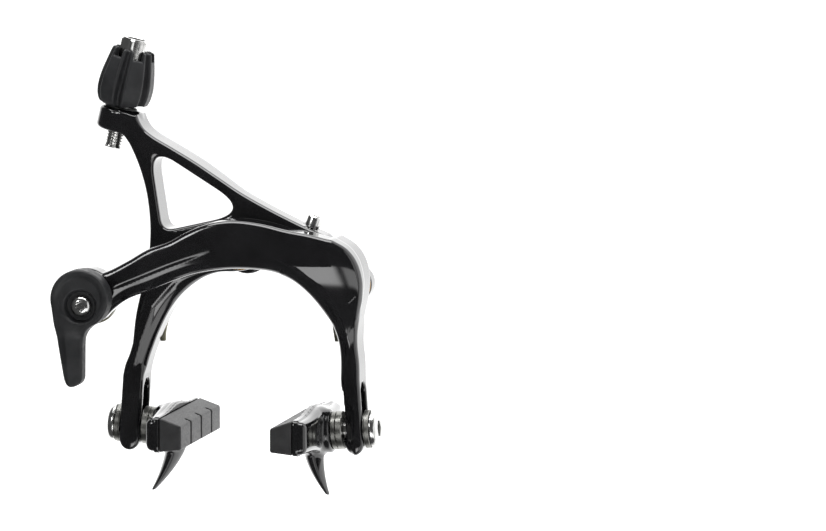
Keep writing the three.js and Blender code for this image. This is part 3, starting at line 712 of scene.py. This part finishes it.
def side_pivot():
    shank = [(2.1, -20.6), (2.5, -20.2), (2.5, -2.2), (5.2, -2.2), (5.2, -1.0), (4.9, -0.45), (4.2, -0.15)]
    socket = [(2.75, -0.15), (2.55, -0.35, 6), (2.45, -1.9, 6)]
    profile = softened(shank, 0.2) + socket
    origin = (SIDE_PIVOT[0], 0, SIDE_PIVOT[1])
    stands_for(spun("side_pivot_screw", profile, origin, Y_AXIS), "side_pivot_bolt")
    washer("side_pivot_washer", SIDE_PIVOT, 2.65, 5.4, -8.3, -7.8)
    washer("front_arm_bush", SIDE_PIVOT, 2.65, 3.5, -20.7, -8.5)


def bracket_outline():
    line = Line(7 * math.cos(math.radians(70)), 7 * math.sin(math.radians(70))).arc(0, 0, 7, 70, 310)
    line.spline((9, -4.6), (16, -4.9), (22, -8.2), (25.4, -12)).arc(*SIDE_PIVOT, 5.6, 210, 445)
    return Outline(line.spline((22, 1.2), (12, 4.4), (5, 6.2)))


BRACKET_OUTLINE = bracket_outline()


def bracket(p):
    body = round_and(BRACKET_OUTLINE(p[:, 0], p[:, 2]), slab(p[:, 1], -7.7, -2.3), 0.7)
    body = round_cut(body, bore_y(p, (0, 0), 3.15, -12, 2), 0.25)
    return round_cut(body, bore_y(p, SIDE_PIVOT, 2.65, -12, 2), 0.25)


def centring_screw():
    steps = [(0.8, 0), (1.3, 0.5)] + threaded(1.3, 0.8, 8.0, 0.5, 48) + [(1.3, 8.8), (2.1, 8.8), (2.2, 8.95),
             (2.2, 11.4), (2.05, 11.75), (1.75, 12), (1.35, 12), (1.25, 11.85, 6), (1.2, 10.4, 6)]
    stands_for(spun("centring_grub_screw", steps, CENTRING, leaning(CENTRING_TILT), 48, 30), "centring_screw")


# ---------------------------------------------------------------- cable adjuster


def adjuster_barrel():
    cap = [(2.5, 13), (3.4, 13), (3.4, 25.4), (3.8, 25.4), (4.15, 25.8, 6), (4.15, 31.1, 6), (3.55, 31.6)]
    seat = [(2.75, 31.6), (2.6, 31.45), (2.6, 20), (1.2, 19), (1.2, 0), (2.1, 0)]
    steps = [(2.1, 0)] + threaded(2.5, 0.2, 12.8, 0.8) + cap + seat
    stands_for(spun("adjuster_stem", steps, ADJUSTER, leaning(ADJUSTER_TILT), 96, 24), "adjuster_barrel")
    ring = [(2.65, 11.75), (2.65, 11.5), (4.6, 11.5), (4.6, 12), (2.65, 12), (2.65, 11.75)]
    o_ring = spun("adjuster_o_ring", softened(ring, 0.3), ADJUSTER, leaning(ADJUSTER_TILT))
    stands_for(o_ring, "adjuster_seal")


def grip(p):
    """Six flat-faced lobes, widest below the middle, with a slot in the top of each."""
    axis = leaning(ADJUSTER_TILT)
    s, r = along(p, ADJUSTER, axis)
    d = p - ADJUSTER
    angle = np.arctan2(d[:, 1], d @ np.cross(Y_AXIS, axis))
    folded = np.abs(np.mod(angle + math.pi / 6, math.pi / 3) - math.pi / 6)
    out, across = r * np.cos(folded), r * np.sin(folded)
    height = np.clip((s - GRIP_BOTTOM) / (GRIP_TOP - GRIP_BOTTOM), 0, 1)
    face = 5.65 + 1.85 * np.sin(math.pi * height**0.62)
    lobe = round_and(out - face, across - 0.37 * face, 0.6)
    body = soft_or(lobe, r - 0.82 * face, 0.35)
    body = round_and(body, slab(s, GRIP_BOTTOM, GRIP_TOP), 0.6)
    slot = np.maximum(np.maximum(across - 1.4, 3 - out), GRIP_SLOT - s)
    body = round_cut(body, slot, 0.3)
    return round_cut(body, np.maximum(r - 4.3, 11 - s), 0.3)


# ---------------------------------------------------------------- quick release


def lever(p):
    x, y, z = p.T
    flat = LEVER_OUTLINE(x, z)
    handle = smooth_step((-19 - z) / 5)
    ridge = np.interp(z, [-37, -20], [-45.1, -46.3])
    facets = handle * (0.32 * np.maximum(x - ridge, 0) + 0.5 * np.maximum(ridge - x, 0))
    from_hub = np.hypot(x - QUICK_RELEASE[0], z - QUICK_RELEASE[1])
    dish = 0.5 * (1 - smooth_step((from_hub - 5.9) / 1.2)) * (1 - handle)
    body = round_and(flat, slab(y, -34.5 + facets + dish, -28.1), 0.75)
    away = np.hypot(x - CABLE_BOLT[0], z - CABLE_BOLT[1])
    cone = away - 4.1 - 0.35 * np.clip(-32.3 - y, -0.1, 1.6)
    body = round_cut(body, np.maximum(cone, y + 32.3), 0.35)
    return round_cut(body, bore_y(p, CABLE_BOLT, 1.75, -40, -20), 0.1)


def quick_release():
    centre = (CABLE_BOLT[0], 0, CABLE_BOLT[1])
    dome = [(0.02, -12.9), (1.3, -12.9), (1.6, -13.2), (1.6, -32.4), (3, -32.4), (3.0, -32.9), (2.75, -33.4),
            (2.3, -33.8), (1.8, -34.08), (1.3, -34.2), (1.2, -34.15, 6), (1.15, -33.0, 6)]
    stands_for(spun("cable_anchor_screw", dome, centre, Y_AXIS, 96, 40), "cable_bolt")
    washer("quick_release_washer", QUICK_RELEASE, 5.25, 7.3, -28, -27.45)
    washer("cable_clamp_washer", CABLE_BOLT, 1.75, 6.5, -18.9, -16.4)
    hex_nut("cable_clamp_nut", CABLE_BOLT, 1.75, 4.2, -16.2, -13.4)


# ---------------------------------------------------------------- pads


def on_leg(name, profile, side, around=96, sharp=32):
    """A turned piece on the pad bolt's axis; heights are X on the right-hand leg."""
    origin = (side * LEG_MIDDLE, PAD_Y, -REACH)
    axis = (side * math.cos(LEAN), 0, math.sin(LEAN))
    steps = [(step[0], step[1] - LEG_MIDDLE, *step[2:]) for step in profile]
    return spun(name, steps, origin, axis, around, sharp)


def dome(radius, start, end, steps=6):
    return [(r, TOE_CENTRE + math.sqrt(radius * radius - r * r)) for r in np.linspace(start, end, steps + 1)]


def pad_hardware(side, name):
    inner, outer = SEAT_IN - 0.15, SEAT_OUT + 0.15
    cup_in = [*dome(9, 3.5, 5.3), (5.4, dome(9, 5.3, 5.4)[-1][1] + 0.15), (5.4, inner - 0.2), (5.2, inner),
              (3.6, inner), (3.5, inner - 0.1), dome(9, 3.5, 5.4)[0]]
    dome_in = [(2.85, 26), (2.85, 25.9), (3, PAD_BOSS + 0.15), (5.2, PAD_BOSS + 0.15), (5.4, PAD_BOSS + 0.35),
               *dome(8.85, 5.4, 2.85), (2.85, 26)]
    dome_out = [(3.5, outer + 0.1), (3.5, outer), (5.4, outer), *dome(16.35, 5.4, 3.5), (3.5, outer + 0.1)]
    cup_out = [*dome(16.5, 2.85, 5.4), (5.4, 36.55), (5.2, 36.75), (3, 36.75), (2.85, 36.6),
               dome(16.5, 2.85, 5.4)[0]]
    for part, profile in (("inner_cup", cup_in), ("inner_dome", dome_in), ("outer_dome", dome_out),
                          ("outer_cup", cup_out)):
        node = f"{name}_{part}_washer"
        stands_for(on_leg(node + "_piece", profile, side), node)
    head = [(2.3, 20.6), (2.7, 21), (2.7, 36.9), (5.15, 36.9), (5.35, 37.05), (5.4, 37.3), (5.2, 38.1),
            (4.75, 38.65), (4.1, 38.95), (3.4, 39), (2.75, 39), (2.5, 38.8, 6), (2.4, 36.8, 6)]
    stands_for(on_leg(name + "_socket_screw", head, side), name + "_bolt")
    lock = [(1.2, 20.6), (1.2, 22.9), (1.05, 23.1), (0.75, 23.1), (0.7, 23.05, 6), (0.65, 22.2, 6)]
    screw = spun(name + "_grub_screw", lock, (0, 3.4, -REACH), (side, 0, 0), 48)
    stands_for(screw, name + "_lock_screw")


def horn(x, y, z):
    """The wheel guide: a blade that hooks down, forwards and outwards, with a ridge along its front."""
    t = np.clip((-55 - z) / 13, 0, 1)
    wide, deep = 3.1 - 2.55 * t**1.3, 6 - 5 * t**0.9
    across = np.abs(x - 19.9 - 5.4 * t**1.7) / wide
    along_y = np.abs(y + 10.2 + 6.2 * t) / deep
    bulge = (across**1.5 + along_y**1.5) ** (1 / 1.5)
    return soft_and((bulge - 1) * wide * 0.8, slab(z, -68, -54.5), 0.4)


def holder(side):
    def field(p):
        x, y, z = p[:, 0] * side, p[:, 1], p[:, 2] + REACH
        q = p * (side, 1, 1)
        run = (y - PAD_Y) / 24
        half = 4.6 + 1.7 * np.exp(-((run / 0.42) ** 2))
        back = PAD_BACK - 1.5 * np.clip(np.abs(run) - 0.3, 0, 1) ** 2
        ends = np.maximum(PAD_FRONT - y, y - PAD_REAR)
        shell = round_and(round_and(np.abs(z) - half, x - back, 1.9), ends, 1.6)
        body = round_and(shell, PAD_ROOT + 0.25 - x, 0.3)
        lip = round_and(np.maximum(shell - 0.45, np.abs(x - PAD_ROOT - 0.95) - 0.7), ends, 0.4)
        body = soft_or(body, lip, 0.5)
        axis = np.array([math.cos(LEAN), 0, math.sin(LEAN)])
        boss = barrel(q, np.array([LEG_MIDDLE, PAD_Y, -REACH]), axis, 6.2, -10.5, PAD_BOSS - LEG_MIDDLE, 0.9)
        body = soft_or(body, boss, 1.6)
        body = soft_or(body, horn(x, y, p[:, 2]), 1.4)
        shank = barrel(q, np.array([LEG_MIDDLE, PAD_Y, -REACH]), axis, 2.85, -12.4, 0, 0.01)
        body = round_cut(body, shank, 0.2)
        grub = barrel(q, np.array([0.0, 3.4, -REACH]), np.array([1.0, 0, 0]), 1.35, 20.2, 26, 0.01)
        body = round_cut(body, grub, 0.2)
        return np.maximum(body, np.minimum(PAD_ROOT + 0.2 - x, z + 4.95))
    return field


def insert(side):
    def field(p):
        x, y, z = p[:, 0] * side, p[:, 1], p[:, 2] + REACH
        top = (z - 4.9) * 0.942 + (PAD_ROOT - x) * 0.335
        bottom = (-4.7 - z) * 0.994 + (PAD_ROOT - x) * 0.112
        body = round_and(np.maximum(top, bottom), slab(y, PAD_FRONT, PAD_REAR), 0.5)
        body = round_and(body, PAD_FACE - x, 0.45)
        body = round_and(body, x - PAD_ROOT, 0.1)
        for groove in (-22.6, -10.2, 2.2):
            cut = np.maximum(np.abs(y - groove) - 0.6, x - PAD_FACE - 1.9)
            body = round_cut(body, cut, 0.25)
        return body
    return field


def pad(side, name):
    low_x, high_x = sorted((side * 12, side * 27))
    shoe = skin(name + "_shoe", holder(side), (low_x, -37, -69), (high_x, 15, -42), 0.4)
    stands_for(shoe, name + "_holder")
    block_piece = skin(name + "_rubber", insert(side), (low_x, -37, -56), (high_x, 15, -43), 0.35)
    stands_for(block_piece, name + "_insert")
    pad_hardware(side, name)


# ---------------------------------------------------------------- return spring and its sliders


def tube(name, route, radius, around=24):
    """A round wire along a route, with rounded-off ends."""
    route = np.array(route)
    ways = np.gradient(route, axis=0)
    ways /= np.linalg.norm(ways, axis=1)[:, None]
    side = np.cross(ways[0], (0, 1, 0))
    rings = []
    for i, (point, way) in enumerate(zip(route, ways)):
        side = side - way * (side @ way)
        side = side / np.linalg.norm(side)
        angle = 2 * math.pi * np.arange(around) / around
        ring = np.cos(angle)[:, None] * side + np.sin(angle)[:, None] * np.cross(way, side)
        size = radius * (0.75 if i in (0, len(route) - 1) else 1)
        rings.append(point + size * ring)
    points = np.concatenate([*rings, [route[0]], [route[-1]]])
    count = len(route)
    faces = []
    for low in range(0, (count - 1) * around, around):
        for j in range(around):
            k = (j + 1) % around
            faces.append((low + j, low + k, low + around + k, low + around + j))
    last = (count - 1) * around
    for j in range(around):
        k = (j + 1) % around
        faces += [(count * around, k, j), (count * around + 1, last + j, last + k)]
    if enclosed(points, faces) < 0:
        faces = [face[::-1] for face in faces]
    return smooth_mesh(name, points, faces, sharp=40)


def half_spring(side, arm, last):
    """One half of the wire: over the mounting washer, round its seat and down behind a leg."""
    knots = [(0, -1.25, 8.7), (5, -1.25, 7), (8.3, -1.25, 2.4), (10.2, -1.25, -2.4), (15.1, -1.25, -6.5),
             (20.5, -1.25, -12), (23.8, -2.4, -18), (25.2, -3.9, -23.5), last]
    knots = [np.array(k) * (side, 1, 1) for k in knots]
    knots.insert(0, knots[1] * (-1, 1, 1))
    route = []
    for a, b, c, d in zip(knots, knots[1:], knots[2:], knots[3:] + [knots[-1]]):
        for i in range(8):
            t = i / 8
            bend = (2 * a - 5 * b + 4 * c - d) * t * t + (3 * b - a - 3 * c + d) * t**3
            route.append(b + ((c - a) * t + bend) / 2)
    route.append(knots[-1])
    piece = tube(f"return_spring_{arm.split('_')[0]}_half", route, 1)
    piece.data.materials.append(FINISHES["spring_steel"])
    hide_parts("return_spring")
    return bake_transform(piece)


def slider(side):
    def field(p):
        q = p * (side, 1, 1)
        body = block(q, (27.4, -4.6, -28), (29.6, -3.2, -20)) - 0.5
        wire = np.hypot(q[:, 0] - 25.9, q[:, 1] + 4) - 1.35
        return round_cut(body, wire, 0.2)
    return field


# ---------------------------------------------------------------- the whole caliper

centre_bolt()
side_pivot()
stands_for(skin("pivot_bracket", bracket, (-9, -9, -17), (38, -1, 9), 0.45), "bracket")
centring_screw()
adjuster_barrel()
stands_for(skin("adjuster_knob", grip, (-47, -21, 40), (-20, -1, 61), 0.32), "adjuster_grip")
stands_for(skin("release_lever", lever, (-53, -36, -39), (-32, -26, -2), 0.35), "quick_release_lever")
quick_release()
for side, name, arm, last in ((-1, "left_pad", "rear_arm", (25.4, -4, -27)),
                              (1, "right_pad", "front_arm", (25.6, -4, -26))):
    pad(side, name)
    half_spring(side, arm, last)
    node = arm + "_spring_slider"
    low_x, high_x = sorted((side * 25, side * 32))
    stands_for(skin(node + "_block", slider(side), (low_x, -6, -30), (high_x, -2, -18), 0.25), node)


# ---------------------------------------------------------------- floor, light and camera


def look_at(thing, place, target):
    thing.location = Vector(place) * MM
    thing.rotation_mode = "QUATERNION"
    thing.rotation_quaternion = ((Vector(target) - Vector(place))).to_track_quat("-Z", "Y")


def floor(height):
    """A white table, lit a little from within and left out of the paint's reflections."""
    finish = Finish("pale_floor", 0.0)
    finish.colour(finish.spread(finish.noise(400, 2), 0, 1), (0.9, 0.9, 0.9), (0.93, 0.93, 0.93))
    finish.shader.inputs["Roughness"].default_value = 0.9
    finish.shader.inputs["Specular IOR Level"].default_value = 0.0
    finish.shader.inputs["Emission Color"].default_value = (1, 1, 1, 1)
    finish.shader.inputs["Emission Strength"].default_value = 0.55
    radius, sides = 40, 64
    angles = [2 * math.pi * i / sides for i in range(sides)]
    rim = [(radius * math.cos(angle), radius * math.sin(angle), height * MM) for angle in angles]
    mesh = bpy.data.meshes.new("floor")
    mesh.from_pydata(rim, [], [list(range(sides))])
    mesh.materials.append(finish.material)
    piece = bpy.data.objects.new("floor", mesh)
    piece.visible_glossy = False
    bpy.context.scene.collection.objects.link(piece)
    piece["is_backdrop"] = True


def softbox(name, place, target, width, height, strength, tint=(1, 1, 1)):
    light = bpy.data.lights.new(name, "AREA")
    light.shape = "RECTANGLE"
    light.size, light.size_y = width * MM, height * MM
    light.energy = strength
    light.color = tint
    lamp = bpy.data.objects.new(name, light)
    bpy.context.scene.collection.objects.link(lamp)
    look_at(lamp, place, target)


class World:
    """The light tent's walls, told apart by direction: x to the right, y to the back, z up."""

    def __init__(self, strength):
        self.world = bpy.data.worlds.new("tent")
        self.world.use_nodes = True
        self.nodes, self.links = self.world.node_tree.nodes, self.world.node_tree.links
        coordinates = self.nodes.new("ShaderNodeTexCoord")
        axes = self.nodes.new("ShaderNodeSeparateXYZ")
        self.links.new(coordinates.outputs["Generated"], axes.inputs["Vector"])
        self.axes = axes.outputs
        self.nodes["Background"].inputs["Strength"].default_value = strength
        bpy.context.scene.world = self.world

    def maths(self, operation, *values):
        node = self.nodes.new("ShaderNodeMath")
        node.operation = operation
        for socket, value in zip(node.inputs, values):
            if isinstance(value, (int, float)):
                socket.default_value = value
            else:
                self.links.new(value, socket)
        return node.outputs[0]

    def rise(self, value, start, end):
        """0 below start and 1 above end, with a soft edge between."""
        remap = self.nodes.new("ShaderNodeMapRange")
        remap.interpolation_type = "SMOOTHSTEP"
        remap.inputs["From Min"].default_value = start
        remap.inputs["From Max"].default_value = end
        self.links.new(value, remap.inputs["Value"])
        return remap.outputs["Result"]

    def band(self, value, start, end, edge=0.07):
        """1 between start and end, with a soft edge outside each."""
        below = self.rise(value, start - edge, start)
        above = self.rise(value, end, end + edge)
        return self.maths("SUBTRACT", below, above)

    def show(self, brightness):
        self.links.new(brightness, self.nodes["Background"].inputs["Color"])


def tent():
    """Bright behind and to the right, near dark in front, with two lit cards low in front and a strip."""
    world = World(1.6)
    ahead = world.maths("MULTIPLY", world.axes["Y"], -1)
    down = world.maths("MULTIPLY", world.axes["Z"], -1)
    lean = world.maths("MULTIPLY_ADD", world.axes["X"], 0.35, world.axes["Y"])
    low = world.maths("MULTIPLY", world.band(down, 0.33, 0.62), world.rise(ahead, 0.25, 0.32))
    near_card = world.maths("MULTIPLY", low, world.band(world.axes["X"], -0.05, 0.25))
    far_card = world.maths("MULTIPLY", low, world.band(world.axes["X"], 0.4, 0.7))
    strip = world.maths("MULTIPLY", world.rise(world.axes["X"], 0.72, 0.8), world.rise(ahead, 0.2, 0.3))
    lit = world.rise(lean, 0.0, 0.42)
    for patch, strength in ((near_card, 2.6), (far_card, 1.2), (strip, 0.7)):
        lit = world.maths("MULTIPLY_ADD", patch, strength, lit)
    world.show(world.maths("ADD", lit, 0.05))


AZIMUTH, ELEVATION = math.radians(11.6), math.radians(6)
right_way = Vector((math.cos(AZIMUTH), math.sin(AZIMUTH), 0))
back_way = Vector((math.sin(AZIMUTH) * math.cos(ELEVATION), -math.cos(AZIMUTH) * math.cos(ELEVATION),
                   math.sin(ELEVATION)))
up_way = back_way.cross(right_way)
AIM = right_way * 45.35 + up_way * -5.4
camera = bpy.data.objects.new("camera", bpy.data.cameras.new("camera"))
bpy.context.scene.collection.objects.link(camera)
camera.data.sensor_width = 36
camera.data.lens = 277
camera.data.clip_start = 0.1
camera.data.clip_end = 200
look_at(camera, AIM + back_way * 1800, AIM)
bpy.context.scene.camera = camera

floor(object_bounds()[0].z / MM - 30)
tent()
softbox("overhead", (0, -60, 420), (0, -15, 0), 500, 300, 3.0)
softbox("front_card", (-420, -760, 330), (0, -15, -10), 150, 260, 1.2)
bpy.context.scene.view_settings.view_transform = "Standard"
